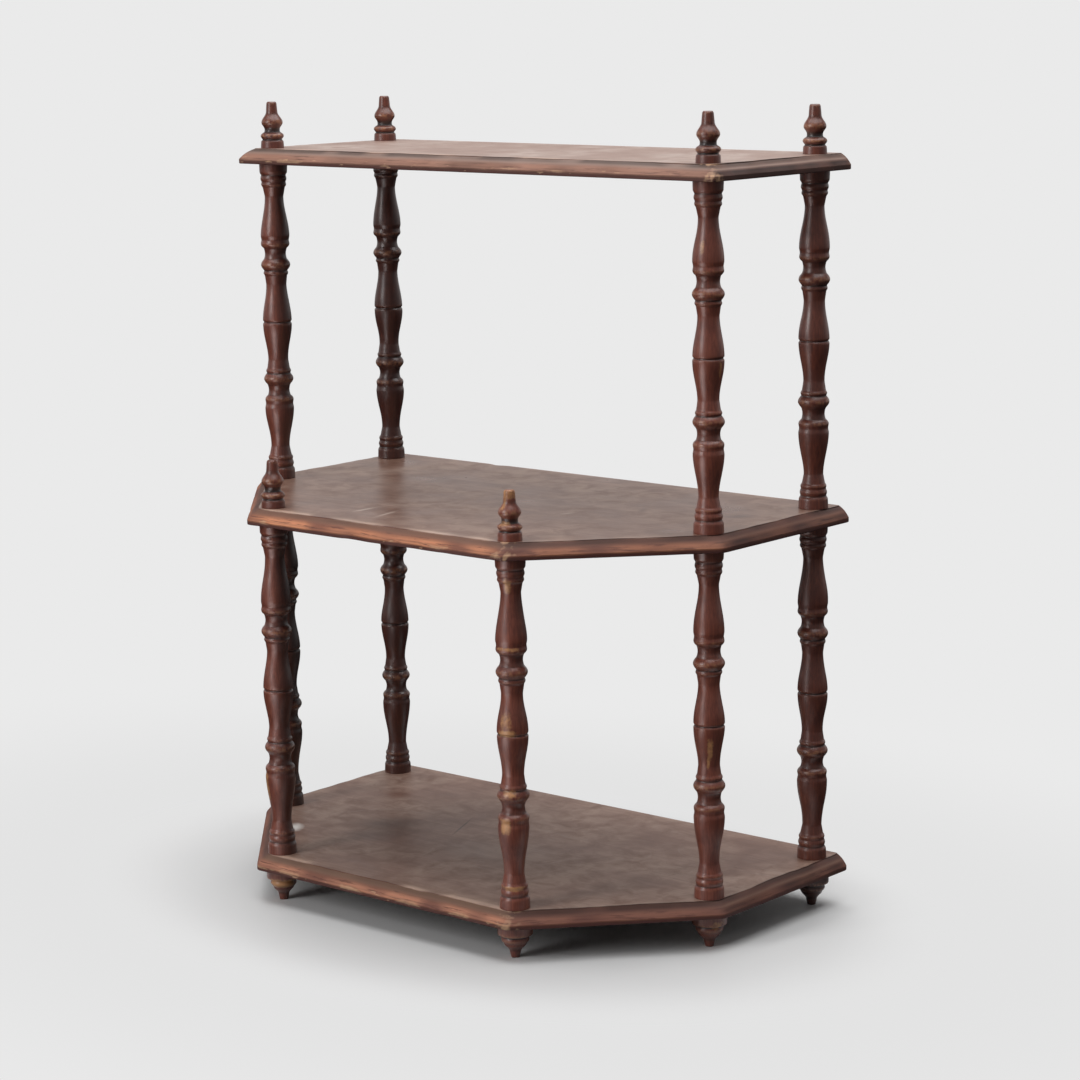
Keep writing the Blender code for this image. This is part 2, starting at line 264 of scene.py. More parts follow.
@dataclass(frozen=True)
class TurnedFinish:
    """Birch, turned on a lathe, stained red-brown and polished: dark, satin, paler where hands rub it.

    The grain is drawn coarser than that of real birch, so that it shows.
    """

    name: str = "birch_turned_and_stained"
    deep: str = "#5c2920"
    warm: str = "#9c5743"
    # Dirt and painted shade in the grooves, and painted shade on one side of some posts.
    grime_and_shade: str = "#190d0a"
    # Rubbed crests, partly painted highlights on the beads.
    rubbed: str = "#b57f5e"
    # Bare wood, in a few places partly painted highlights.
    bare_and_glint: str = "#d69c68"
    roughness: float = 0.38
    coat: float = 0.6
    coat_roughness: float = 0.36
    grain_width: float = 0.0014
    grain_length: float = 0.045
    grain_depth: float = 0.0004
    patch: float = 0.022
    flecks_per_patch: float = 6

    def material(self) -> Material:
        """Makes the stain, the grime and painted shade in the grooves, painted shade on one side of some
        posts, the rubbed crests and the bare spots, some of which are partly painted highlights.

        Returns:
            The material, which reads the attributes crest, bare_and_glint and shaded_side.
        """
        made = bpy.data.materials.new(self.name)
        made.use_nodes = True
        tree = made.node_tree
        shader = tree.nodes["Principled BSDF"]
        place = add_node(tree, "TexCoord", {}, output="Object")
        crest, bare_and_glint, shaded_side = (
            add_node(tree, "Attribute", {}, attribute_name=key, output="Fac")
            for key in ("crest", "bare_and_glint", "shaded_side")
        )

        # Grain runs up the post, so its pattern is squeezed round and drawn out along Z.
        grain_sizes = (self.grain_width, self.grain_width, self.grain_length)
        grain = pattern(tree, place, grain_sizes, 5.0, 0.6)
        patch = pattern(tree, place, (self.patch,) * 3, 4.0, 0.6)
        fleck = pattern(tree, place, (self.patch / self.flecks_per_patch,) * 3, 3.0, 0.6)

        # Crests are rubbed through in flecks, their pale tone partly a painted highlight, and bare spots
        # have a ragged border.
        ridge_wear_and_glint = add_node(tree, "MapRange", dict(zip(SPAN, (crest, 0.15, 0.9, 1.0))))
        broken = add_node(tree, "MapRange", dict(zip(SPAN, (fleck, 0.4, 0.62, 0.8))))
        rubbed = add_node(tree, "Math", {0: ridge_wear_and_glint, 1: broken}, operation="MULTIPLY")
        ragged = add_node(tree, "Math", {0: bare_and_glint, 1: fleck}, operation="ADD")

        # Stain in grain and patches, then dirt and painted shade in the grooves, where crest is below
        # zero, painted shade on one side of some posts, then the wear, partly painted highlights.
        layers = [
            (grain, 0.2, 0.8, 1.0, self.warm),
            (patch, 0.45, 0.7, 0.6, self.deep),
            (crest, -0.15, -0.75, 0.92, self.grime_and_shade),
            (shaded_side, *WHOLE, self.grime_and_shade),
            (rubbed, *WHOLE, self.rubbed),
            (ragged, 0.72, 1.3, 0.9, self.bare_and_glint),
        ]
        tree.links.new(overlay(tree, linear(self.deep), layers), shader.inputs["Base Color"])

        rough = {"Value": patch, "From Min": 0.3, "From Max": 0.7}
        rough |= {"To Min": self.roughness - 0.08, "To Max": self.roughness + 0.12}
        gloss = add_node(tree, "MapRange", rough)
        tree.links.new(gloss, shader.inputs["Roughness"])
        relief = {"Height": grain, "Strength": 0.15, "Distance": self.grain_depth}
        bump = add_node(tree, "Bump", relief)
        tree.links.new(bump, shader.inputs["Normal"])
        shader.inputs["IOR"].default_value = VARNISH_IOR
        shader.inputs["Coat Weight"].default_value = self.coat
        shader.inputs["Coat Roughness"].default_value = self.coat_roughness
        return made


@dataclass(frozen=True)
class Mark:
    """A stain or scuff on a board's face: an ellipse about a place, turned from X, in its own tone."""

    x: float
    y: float
    wide: float
    deep: float
    turn: float
    tone: str
    strength: float


@dataclass(frozen=True)
class BoardFinish:
    """Pine board, stained red-brown, faded grey on top: long dull grain, and a dark worn moulding.

    Grain, pores and streaks are drawn coarser than those of real pine, so that they show.
    """

    name: str
    dull: str
    rubbed: str
    faded: str = "#aa8777"
    brown: str = "#765446"
    haze: str = "#ad9385"
    pores: str = "#402820"
    scratch: str = "#a18d83"
    edge: str = "#76473b"
    # Deep stain in streaks, and painted shade on the skirt and low on ribbed edges.
    edge_deep_and_shade: str = "#542e28"
    # Dirt and painted shade in and above the step, and painted shade over the underside.
    grime_and_shade: str = "#2c1811"
    raw: str = "#cfa583"
    lip: str = "#cfae9b"
    roughness: float = 0.46
    edge_roughness: float = 0.64
    grain_width: float = 0.0045
    grain_length: float = 0.15
    grain_depth: float = 0.0005
    figure_width: float = 0.030
    figure_length: float = 0.50
    pore_width: float = 0.0016
    pore_length: float = 0.022
    blotch: float = 0.080
    flecks_per_blotch: float = 22
    scratches_per_blotch: float = 0.7
    smudge: float = 0.022
    streak_width: float = 0.0021
    streak_length: float = 0.026
    marks: tuple[Mark, ...] = ()

    READS = ("moulding", "quirk", "rub", "pale", "deep", "dull", "margin", "chip", "run", "climb")

    def material(self) -> Material:
        """Makes the faded face, the stained moulding with painted shade low on it, its line of grime and
        painted shade, painted shade over the underside, and its rubbed and raw places.

        Returns:
            The material, which reads the attributes that Board gives.
        """
        made = bpy.data.materials.new(self.name)
        made.use_nodes = True
        tree = made.node_tree
        shader = tree.nodes["Principled BSDF"]
        place = add_node(tree, "TexCoord", {}, output="Object")
        read = {
            key: add_node(tree, "Attribute", {}, attribute_name=key, output="Fac")
            for key in self.READS
        }
        track = add_node(tree, "CombineXYZ", {0: read["run"], 1: read["climb"]})

        # Grain runs along the board, so its patterns are drawn out along X, and streaks follow the edge.
        grain_sizes = (self.grain_length, self.grain_width, self.grain_width)
        figure_sizes = (self.figure_length, self.figure_width, self.figure_width)
        pore_sizes = (self.pore_length, self.pore_width, self.pore_width)
        streak_sizes = (self.streak_length, self.streak_width, 1.0)
        grain = pattern(tree, place, grain_sizes, 6.0, 0.62, 0.3)
        figure = pattern(tree, place, figure_sizes, 3.0, 0.5, 0.8)
        pore = pattern(tree, place, pore_sizes, 2.0, 0.5)
        blotch = pattern(tree, place, (self.blotch,) * 3, 4.0, 0.55, 0.6)
        fleck = pattern(tree, place, (self.blotch / self.flecks_per_blotch,) * 3, 3.0, 0.6)
        smudge = pattern(tree, place, (self.smudge,) * 3, 5.0, 0.6, 0.5)
        slow = pattern(tree, place, (self.blotch / self.scratches_per_blotch,) * 3, 1.0, 0.5, 0.4)
        streak = pattern(tree, track, streak_sizes, 4.0, 0.65)

        # Scratches are level lines of the slow pattern, a strong lip fills its gaps, and chips are torn.
        level = add_node(tree, "Math", {0: slow, 1: 0.5}, operation="SUBTRACT")
        level = add_node(tree, "Math", {0: level}, operation="ABSOLUTE")
        lifted = add_node(tree, "Math", {0: read["pale"], 1: 0.25, 2: streak}, operation="MULTIPLY_ADD")
        torn = add_node(tree, "Mix", {0: 0.5, 2: streak, 3: fleck})
        torn = add_node(tree, "Math", {0: read["chip"], 1: torn}, operation="ADD")

        # Shares made of two parts: each is the product of two ramps.
        parts = {
            "rubbed margin": ((read["margin"], *WHOLE), (streak, 0.35, 0.65, 1.0)),
            "scratch": ((level, 0.005, 0.002, 1.0), (blotch, 0.5, 0.56, 0.35)),
            "stain": ((streak, -0.2, 0.75, 1.0), (read["deep"], 1.0, 0.0, 1.0)),
            "rub": ((read["rub"], *WHOLE), (streak, 0.35, 0.47, 1.0)),
            "lip": ((read["pale"], *WHOLE), (lifted, 0.45, 0.65, 1.0)),
        }
        share = {}
        for key, ramps in parts.items():
            pair = {
                side: add_node(tree, "MapRange", dict(zip(SPAN, ramp)))
                for side, ramp in enumerate(ramps)
            }
            share[key] = add_node(tree, "Math", pair, operation="MULTIPLY")

        # The face: grain, broad figure, grey haze, dark pores, smudges, a margin rubbed brown along the
        # edges, faint scratches, and old marks with borders that the smudges break up.
        layers = [
            (grain, 0.15, 0.85, 1.0, self.faded),
            (figure, 0.42, 0.68, 0.55, self.brown),
            (blotch, 0.40, 0.64, 0.75, self.haze),
            (pore, 0.58, 0.75, 0.35, self.pores),
            (smudge, 0.40, 0.66, 0.75, self.brown),
            (share["rubbed margin"], *WHOLE, self.dull),
            (share["scratch"], *WHOLE, self.scratch),
        ]
        for mark in self.marks:
            shift = {"Vector": place, "Location": (mark.x, mark.y, 0)}
            shift |= {"Scale": (mark.wide, mark.deep, 1000), "Rotation": (0, 0, math.radians(mark.turn))}
            local = add_node(tree, "Mapping", shift, vector_type="TEXTURE")
            reach = add_node(tree, "VectorMath", {0: local}, operation="LENGTH", output="Value")
            border = add_node(tree, "Math", {0: reach, 1: smudge}, operation="ADD")
            layers.append((border, 1.8, 0.8, mark.strength, mark.tone))
        face = overlay(tree, linear(self.brown), layers)

        # The moulding keeps more of its stain, in streaks, and shows the deep tone where deep is high:
        # painted shade on the skirt under the arris and low on ribbed edges.
        layers = [(share["stain"], *WHOLE, self.edge), (read["dull"], *WHOLE, self.dull)]
        edge = overlay(tree, linear(self.edge_deep_and_shade), layers)

        # Rubbed stretches, the pale lip, then dirt and painted shade in the step and painted shade up the
        # bevel and over the underside, then raw wood where knocks were hardest.
        layers = [
            (read["moulding"], *WHOLE, edge),
            (share["rub"], *WHOLE, self.rubbed),
            (share["lip"], *WHOLE, self.lip),
            (read["quirk"], *WHOLE, self.grime_and_shade),
            (torn, 0.75, 1.25, 0.85, self.raw),
        ]
        tree.links.new(overlay(tree, face, layers), shader.inputs["Base Color"])

        rough = {"Value": blotch, "From Min": 0.3, "From Max": 0.7}
        rough |= {"To Min": self.roughness - 0.06, "To Max": self.roughness + 0.10}
        gloss = add_node(tree, "MapRange", rough)
        gloss = add_node(tree, "Mix", {0: read["moulding"], 2: gloss, 3: self.edge_roughness})
        tree.links.new(gloss, shader.inputs["Roughness"])
        relief = {"Height": grain, "Strength": 0.25, "Distance": self.grain_depth}
        bump = add_node(tree, "Bump", relief)
        tree.links.new(bump, shader.inputs["Normal"])
        shader.inputs["IOR"].default_value = VARNISH_IOR
        return made


class Shape(Enum):
    """How the edge of a turned piece runs along one member."""

    LINE = "straight slope"
    OGEE = "S-curve, half a cosine wave"
    BEAD = "rounded ring, a chord plus half a sine wave that reaches its crest"


@dataclass(frozen=True)
class Member:
    """One member of a turned edge: its shape, the radius that it ends at, its rise, and a bead's crest.

    A member without a rise takes what is left of the height.
    """

    shape: Shape
    radius: float
    rise: float | None = None
    crest: float = 0.0


def draw_edge(first: float, members: dict[str, Member], height: float) -> tuple[np.ndarray, np.ndarray]:
    """Draws the edge of a turned piece upwards, member by member.

    Args:
        first: Radius at the lower end.
        members: The members by name, from the lower end upwards.
        height: Whole height of the edge.

    Returns:
        Heights, from zero, and radii of points along the edge.
    """
    share = np.linspace(0, 1, 60)[1:]
    left = height - sum(member.rise or 0.0 for member in members.values())
    heights = np.array([0.0])
    radii = np.array([first])
    for member in members.values():
        rise = left if member.rise is None else member.rise
        swing = (1 - np.cos(np.pi * share)) / 2 if member.shape is Shape.OGEE else share
        run = radii[-1] + (member.radius - radii[-1]) * swing
        if member.shape is Shape.BEAD:
            run = run + (member.crest - run) * np.sin(np.pi * share)
        heights = np.concatenate([heights, heights[-1] + rise * share])
        radii = np.concatenate([radii, run])
    return heights, radii


@dataclass(frozen=True)
class RubAndGlint:
    """A place on a turned piece worn through to the wood, a few partly painted highlights: height above
    the floor, bearing, and reach.
    """

    height: float
    bearing: float
    tall: float
    wide: float
    strength: float = 0.6


@dataclass
class Turning:
    """A piece turned on a lathe, as a surface of revolution on the axis of its CAD node.

    It starts on the board below and ends under the board above, or where its CAD node does if there is
    no such board. Painted shade, shaded_side, darkens the side that its bearing gives.
    """

    node: str
    finish: Material
    slot: str
    seed: int
    below: str | None = None
    above: str | None = None
    rubs_and_glints: tuple[RubAndGlint, ...] = ()
    shaded_side: float = 0.0
    shaded_side_bearing: float = 15.0
    sides: int = 60
    spacing: float = 0.00055
    easing: int = 2
    crest_passes: int = 60
    crest_height: float = 0.0011
    unevenness: float = 0.00010
    swell_size: float = 0.03
    mean_radius: float = 0.013

    FIRST = 0.0
    MEMBERS = {}

    def edge(self, height: float) -> tuple[np.ndarray, np.ndarray]:
        """Gives heights and radii along the piece's edge, upwards from its foot."""
        return draw_edge(self.FIRST, self.MEMBERS, height)

    def build(self) -> Object:
        """Turns the edge about the axis and adds the piece.

        Points are spaced evenly along the edge, and its corners are eased. A point at height h and
        bearing a lies at radius r(h) plus a small uneven swell. The attribute crest is how far r(h)
        stands out from its own running mean, bare_and_glint sums the rubbed places, some of them partly
        painted highlights, and shaded_side is high on the side with painted shade.

        Returns:
            The new object.
        """
        low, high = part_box(self.node)
        axis = np.array([(low.x + high.x) / 2, (low.y + high.y) / 2])
        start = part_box(self.below)[1].z if self.below else low.z
        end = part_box(self.above)[0].z if self.above else high.z
        heights, radii = self.edge(end - start)
        along = np.concatenate([[0.0], np.cumsum(np.hypot(np.diff(heights), np.diff(radii)))])
        even = np.linspace(0, along[-1], int(round(along[-1] / self.spacing)))
        heights = softened(np.interp(even, along, heights), self.easing)
        radii = softened(np.interp(even, along, radii), self.easing)
        turn = np.linspace(0, 2 * np.pi, self.sides, endpoint=False)
        around = np.stack([np.cos(turn), np.sin(turn)], axis=-1)
        crest = np.clip((radii - softened(radii, self.crest_passes)) / self.crest_height, -1, 1)
        flat = radii[:, None, None] * around
        levels = np.broadcast_to(start + heights[:, None, None], (len(radii), self.sides, 1))
        points = np.concatenate([axis + flat, levels], axis=-1)
        swell = self.unevenness * wander(points, self.swell_size, self.seed)
        points[..., :2] += swell[..., None] * around
        # Painted shade on the side that the bearing gives.
        dirt_and_shade = self.shaded_side * step_up(np.cos(turn - math.radians(self.shaded_side_bearing)), 0.1, 0.9)
        shades = {
            "crest": np.repeat(crest[:, None], self.sides, axis=1),
            "bare_and_glint": self.bare_and_glint(points, turn),
            "shaded_side": np.repeat(dirt_and_shade[None, :], len(radii), axis=0),
        }
        mesh = grid_mesh(f"{self.node}_turned", points, shades)
        return add_piece(mesh, self.finish, self.node)

    def bare_and_glint(self, points: np.ndarray, turn: np.ndarray) -> np.ndarray:
        """Adds up the rubbed places, each a flat-topped bell over height and over the arc round the axis.

        Args:
            points: Array of rings, sides and xyz.
            turn: Bearing of each side, in radians.

        Returns:
            Array of rings and sides, from zero upwards.
        """
        total = np.zeros(points.shape[:2])
        for rub in self.rubs_and_glints:
            gap = np.angle(np.exp(1j * (turn - math.radians(rub.bearing))))
            rise = (points[..., 2] - rub.height) / (rub.tall / 2)
            arc = gap * self.mean_radius / (rub.wide / 2)
            total += rub.strength * np.exp(-(rise**4) - arc**4)
        return total


@dataclass
class Spindle(Turning):
    """A post between two boards: two mirrored halves from a groove at the middle of its height."""

    FIRST = 0.0128
    MEMBERS = {
        "belly": Member(Shape.LINE, 0.0142, 0.0014),
        "waist": Member(Shape.OGEE, 0.0098, 0.0360),
        "cuff foot": Member(Shape.LINE, 0.0110, 0.0086),
        "cuff": Member(Shape.BEAD, 0.0113, 0.0046, 0.0122),
        "knuckle": Member(Shape.BEAD, 0.0112, 0.0114, 0.0144),
        "neck": Member(Shape.BEAD, 0.0112, 0.0106, 0.0102),
        "lip": Member(Shape.BEAD, 0.0134, 0.0085, 0.0140),
        "shoulder": Member(Shape.LINE, 0.0141, 0.0035),
        "vase": Member(Shape.OGEE, 0.0091),
        "bead foot": Member(Shape.LINE, 0.0108, 0.0088),
        "inner bead": Member(Shape.BEAD, 0.0115, 0.0050, 0.0122),
        "outer bead": Member(Shape.BEAD, 0.0118, 0.0065, 0.0127),
        "collar foot": Member(Shape.LINE, 0.0134, 0.0025),
        "collar": Member(Shape.LINE, 0.0138, 0.0092),
    }

    def edge(self, height: float) -> tuple[np.ndarray, np.ndarray]:
        """Draws the half above the groove, and mirrors it.

        Args:
            height: Whole length of the post.

        Returns:
            Heights and radii along the edge, from the lower end to the upper end.
        """
        heights, radii = draw_edge(self.FIRST, self.MEMBERS, height / 2)
        whole = height / 2 + np.concatenate([-heights[:0:-1], heights])
        return whole, np.concatenate([radii[:0:-1], radii])


@dataclass
class Finial(Turning):
    """The knob that ends a post above a board: a collar, a ring, a neck and a small urn."""

    FIRST = 0.0112
    MEMBERS = {
        "collar": Member(Shape.LINE, 0.0108, 0.0068),
        "shoulder": Member(Shape.LINE, 0.0090, 0.0014),
        "ring": Member(Shape.BEAD, 0.0074, 0.0074, 0.0113),
        "neck": Member(Shape.LINE, 0.0073, 0.0026),
        "urn foot": Member(Shape.OGEE, 0.0104, 0.0066),
        "urn": Member(Shape.OGEE, 0.0057, 0.0104),
        "stem": Member(Shape.LINE, 0.0050),
        "tip": Member(Shape.LINE, 0.0039, 0.0011),
    }


@dataclass
class Foot(Turning):
    """The foot under a post: a thin tip, an ogee, a ring and a collar against the bottom board."""

    FIRST = 0.0040
    MEMBERS = {
        "tip": Member(Shape.LINE, 0.0052, 0.0055),
        "bowl": Member(Shape.OGEE, 0.0104, 0.0080),
        "ring": Member(Shape.BEAD, 0.0116, 0.0068, 0.0126),
        "step": Member(Shape.LINE, 0.0160, 0.0012),
        "collar": Member(Shape.LINE, 0.0160),
    }


@dataclass(frozen=True)
class Rings:
    """The rings of a board, from the underside's middle to the top's middle, with one value for each.

    A ring has a share of the moulding's width and of its rise above the arris, a further inset, a height
    up to the arris, a share of the step's drop, a bulge, and a draw in to the board's middle.
    """

    share: np.ndarray
    inset: np.ndarray
    height: np.ndarray
    drop: np.ndarray
    bulge: np.ndarray
    draw: np.ndarray


@dataclass
class Board:
    """A shelf board with a moulding on every edge but the back, as rings from underside to top.

    Levels by edge: rub is how worn the moulding is, chips how chipped it is, crisp how deep its step
    still is, dirt_and_shade how much grime and painted shade lie in the step and up the bevel, and
    ribs_and_shade how strong its second dark line and the painted shade low on it are. Wear of the
    corners goes by post. The lip is the strength of the pale rim of the face, and a nick is the place
    along X of a notch in the back edge.
    """

    node: str
    finish: Material
    slot: str
    seed: int
    posts: tuple[str, ...] = POSTS
    sides: tuple[Side, ...] = tuple(Side)
    rub: dict[Side, float] = field(default_factory=dict)
    chips: dict[Side, float] = field(default_factory=dict)
    worn_corners: dict[str, float] = field(default_factory=dict)
    crisp: dict[Side, float] = field(default_factory=dict)
    dirt_and_shade: dict[Side, float] = field(default_factory=dict)
    ribs_and_shade: dict[Side, float] = field(default_factory=dict)
    lip: float = 1.1
    nick: float | None = None
    nick_depth: float = 0.004
    nick_width: float = 0.006
    width: float = 0.0110
    quirk: float = 0.0012
    arris: float = 0.0044
    bulge: float = 0.0011
    waver: float = 0.0008
    knock_depth: float = 0.0012
    dent_depth: float = 0.0016
    chip_size: tuple[float, float] = (0.022, 0.0040)
    long_chip_size: tuple[float, float] = (0.040, 0.012)
    corner_wear: float = 0.013
    corner_reach: float = 0.012
    least_rub: float = 0.3
    underside_shade: float = 0.85
    spacing: float = 0.0020
    corner_easing: int = 3

    # A ring just below the arris, along which the wear is laid out.
    FACE_ROW = 11

    def rows(self) -> Rings:
        """Lists the rings.

        Returns:
            The rings under the board, up its edge, up the bevel, and over the top.
        """
        bevel = np.concatenate([[0.02, 0.05], np.linspace(0.1, 1, 14)])
        face = np.array([0.0007, 0.0016, 0.0028, 0.0038, self.arris - 0.0003, self.arris])
        under = np.array([0.045, 0.045, 0.045, 0.020, 0.006, 0.0015, 0.0007, 0.0002])
        above = np.array([0.0, 0.0, 0.0001, 0.0005, 0.0012, 0.0021, 0.0034, 0.0055, 0.009, 0.017, 0.034])
        inner = np.array([0.034, 0.034, 0.034, 0.034])
        low, mid, top = len(under), len(face) + len(bevel), len(above) + len(inner)
        drop = np.array([0.9, 0.5, 0.15] + [0.0] * (top - 3))
        flat_part = np.zeros(low + len(face))
        height = [np.zeros(low - 1), [0.0002], face, np.full(len(bevel) + top, self.arris)]
        draw = [[0.9, 0.5], np.zeros(low - 2 + mid + len(above)), [0.25, 0.5, 0.75, 0.95]]
        return Rings(
            share=np.concatenate([flat_part, bevel, np.ones(top)]),
            inset=np.concatenate([under, np.zeros(mid), above, inner]),
            height=np.concatenate(height),
            drop=np.concatenate([flat_part, bevel, drop]),
            bulge=np.concatenate([flat_part, np.sin(np.pi * bevel), np.zeros(top)]),
            draw=np.concatenate(draw),
        )

    def build(self) -> Object:
        """Lays the rings round the board, wears them, and adds the piece.

        A ring is the board's outline moved inwards by its inset: its corners are where the moved edges
        cross, and its points share out the straight runs between them. The moulding's width and the
        depth of its step wander along the edge, and knocks push single places inwards.

        Returns:
            The new object.
        """
        low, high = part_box(self.node)
        thick = high.z - low.z
        posts = self.post_axes()
        count = len(self.sides)
        ways = np.roll(posts, -1, axis=0) - posts
        normals = np.stack([ways[:, 1], -ways[:, 0]], axis=-1) / np.linalg.norm(ways, axis=1)[:, None]
        overhang = np.array([high.y - posts[0, 1]] + [high.x - posts[0, 0]] * (count - 1))
        moulded = np.array([side is not Side.BACK for side in self.sides], dtype=float)

        # Columns: equal steps along each edge.
        steps = np.ceil(np.linalg.norm(ways, axis=1) / self.spacing).astype(int)
        edge = np.repeat(np.arange(count), steps)
        share = np.concatenate([np.arange(n) / n for n in steps])
        along = np.concatenate([np.arange(n) * self.spacing for n in steps])
        corner = np.minimum(along, steps[edge] * self.spacing - along)
        settle = 1 - bell(corner, 0, self.corner_reach)

        # Rings: nominal corners, and straight runs between them.
        rows = self.rows()
        rise = thick - self.quirk - self.arris
        slope = math.hypot(self.width, rise)
        lean = rows.share * self.width - rows.bulge * self.bulge * rise / slope
        reach = overhang - rows.inset[:, None] - lean[:, None] * moulded
        before = np.roll(np.arange(count), 1)
        cross = np.linalg.inv(np.stack([normals[before], normals], axis=1))
        corners = posts + np.einsum("kij,rkj->rki", cross, np.stack([reach[:, before], reach], axis=-1))
        following = np.roll(corners, -1, axis=1)
        flat = corners[:, edge] * (1 - share[:, None]) + following[:, edge] * share[:, None]

        # Wear along the edges: a wandering step, and shallow dents in the lower edge.
        run = np.arange(len(edge)) * self.spacing
        line = flat[self.FACE_ROW]
        waver = 0.8 * wander(line, 0.075, self.seed) + 0.35 * wander(line, 0.02, self.seed + 1)
        waver = waver * self.waver
        left = np.clip(0.8 + 0.3 * wander(line, 0.09, self.seed + 2), 0.2, 1.2)
        depth = self.quirk * left * moulded[edge] * self.spread(self.crisp, 1.0, edge)
        dents = np.clip(0.5 * wander(line, 0.028, self.seed + 3) - 0.1, 0, 1.4)
        dents = dents * self.dent_depth * self.spread(self.rub, self.least_rub, edge) ** 2
        push = rows.share[:, None] * waver + (1 - rows.share[:, None]) * dents
        push *= settle * moulded[edge] * (rows.draw == 0)[:, None]
        flat = flat - normals[edge] * push[..., None]
        centre = posts.mean(axis=0)
        flat = flat + (centre - flat) * rows.draw[:, None, None]
        level = rows.height + rows.share * (thick - self.arris)
        heights = level[:, None] - rows.drop[:, None] * depth
        heights = heights + (rows.bulge * self.bulge * self.width / slope)[:, None]
        points = np.concatenate([flat, low.z + heights[..., None]], axis=-1)

        # Distance across the rings, from the first one on the underside.
        rest = level - rows.drop * self.quirk
        steps_up = np.hypot(np.diff(rows.inset + lean), np.diff(rest))
        climb = np.concatenate([[0.0], np.cumsum(steps_up)])[:, None] * np.ones(len(edge))
        knocks = self.knocks(points, rows, edge, np.broadcast_to(run, climb.shape), climb)
        inward = centre - points[..., :2]
        inward /= np.maximum(np.linalg.norm(inward, axis=-1, keepdims=True), 0.001)
        points[..., :2] += inward * (knocks * self.knock_depth)[..., None]
        if self.nick is not None:
            points[..., 1] -= self.notch(points, edge)
        for _ in range(self.corner_easing):
            sides = np.roll(points[..., :2], 1, axis=1) + np.roll(points[..., :2], -1, axis=1)
            points[..., :2] = (sides + 2 * points[..., :2]) / 4
        points[..., 2] = np.clip(points[..., 2], low.z, high.z)
        shades = self.shades(points, rows, edge, knocks)
        shades |= {"run": np.broadcast_to(run, climb.shape), "climb": climb}
        mesh = grid_mesh(f"{self.node}_board", points, shades)
        return add_piece(mesh, self.finish, self.node)

    def spread(self, levels: dict[Side, float], usual: float, edge: np.ndarray) -> np.ndarray:
        """Gives each column the level of its edge, eased over the corners.

        Args:
            levels: Level for each edge that is not usual.
            usual: Level of the other edges.
            edge: Edge number of each column.

        Returns:
            One level for each column.
        """
        values = np.array([levels.get(side, usual) for side in self.sides])[edge]
        for _ in range(10):
            values = (np.roll(values, 1) + 2 * values + np.roll(values, -1)) / 4
        return values

    def post_axes(self) -> np.ndarray:
        """Gives the axis of each post, from the foot below it."""
        boxes = [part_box(f"foot_{post}") for post in self.posts]
        return np.array([((low.x + high.x) / 2, (low.y + high.y) / 2) for low, high in boxes])

    def knocks(
        self, points: np.ndarray, rows: Rings, edge: np.ndarray, run: np.ndarray, climb: np.ndarray
    ) -> np.ndarray:
        """Scatters chips over the mouldings and wears the corners.

        A chip is where a fine random swell, drawn out along the edge, passes a level that falls with
        that edge's own wear. A worn corner is a bell shape over the distance to that corner.

        Args:
            points: Array of rings, columns and xyz.
            rows: The rings.
            edge: Edge number of each column.
            run: Distance of each point along the edges.
            climb: Distance of each point across the rings.

        Returns:
            Depth of wear for each point, from 0 to 1.
        """
        level = np.array([self.chips.get(side, 0.0) for side in self.sides])[edge]
        place = np.stack([run, climb], axis=-1)
        track = place / np.array(self.chip_size)
        fine = wander(track, 1.0, self.seed + 5) + 0.5 * wander(track, 0.4, self.seed + 6)
        lip = bell(rows.inset, 0.0005, 0.0015) * (rows.share == 1)
        foot = bell(rows.share, 0, 0.25) * (rows.height > 0.001)
        crown = bell(rows.share, 0, 0.14) * (rows.height > self.arris - 0.0018)
        chips = step_up(fine, 2.7 - 1.2 * level, 3.4 - 1.2 * level) * np.maximum(0.6 * lip, foot)[:, None]
        track = place / np.array(self.long_chip_size)
        long = step_up(wander(track, 1.0, self.seed + 9), 1.3 - 1.3 * level, 2.3 - 1.3 * level)
        chips = 0.8 * np.maximum(chips, 0.75 * long * crown[:, None]) * (level > 0)
        worn = np.zeros(len(edge))
        outer = points[self.FACE_ROW, :, :2]
        for post, strength in self.worn_corners.items():
            axis = self.post_axes()[self.posts.index(post)]
            away = outer[edge == self.posts.index(post)][0] - axis
            gap = np.linalg.norm(outer - axis - away, axis=-1)
            worn = np.maximum(worn, strength * bell(gap, 0, self.corner_wear))
        low = (0.4 + 0.6 * bell(rows.share, 0, 0.2)) * (rows.inset < 0.0015)
        rim = np.where(rows.share == 1, bell(rows.inset, 0, 0.004), low)
        ragged = np.clip(0.65 + 0.45 * wander(points, 0.006, self.seed + 10), 0.1, 1)
        depth = np.maximum(chips, worn * rim[:, None] * ragged)
        return np.clip(depth, 0, 1) * (rows.draw == 0)[:, None]

    def notch(self, points: np.ndarray, edge: np.ndarray) -> np.ndarray:
        """Gives the depth of one small notch in the back edge: a bell shape along X near the top face.

        Args:
            points: Array of rings, columns and xyz.
            edge: Edge number of each column.

        Returns:
            How far each point moves to the front.
        """
        across = bell(points[..., 0], self.nick, self.nick_width)
        across = across * (edge == self.sides.index(Side.BACK))
        top, back = points[..., 2].max(), points[..., 1].max()
        upper = step_up(points[..., 2], top - 0.007, top - 0.001)
        near = step_up(points[..., 1], back - 0.012, back - 0.004)
        return self.nick_depth * across * upper * near

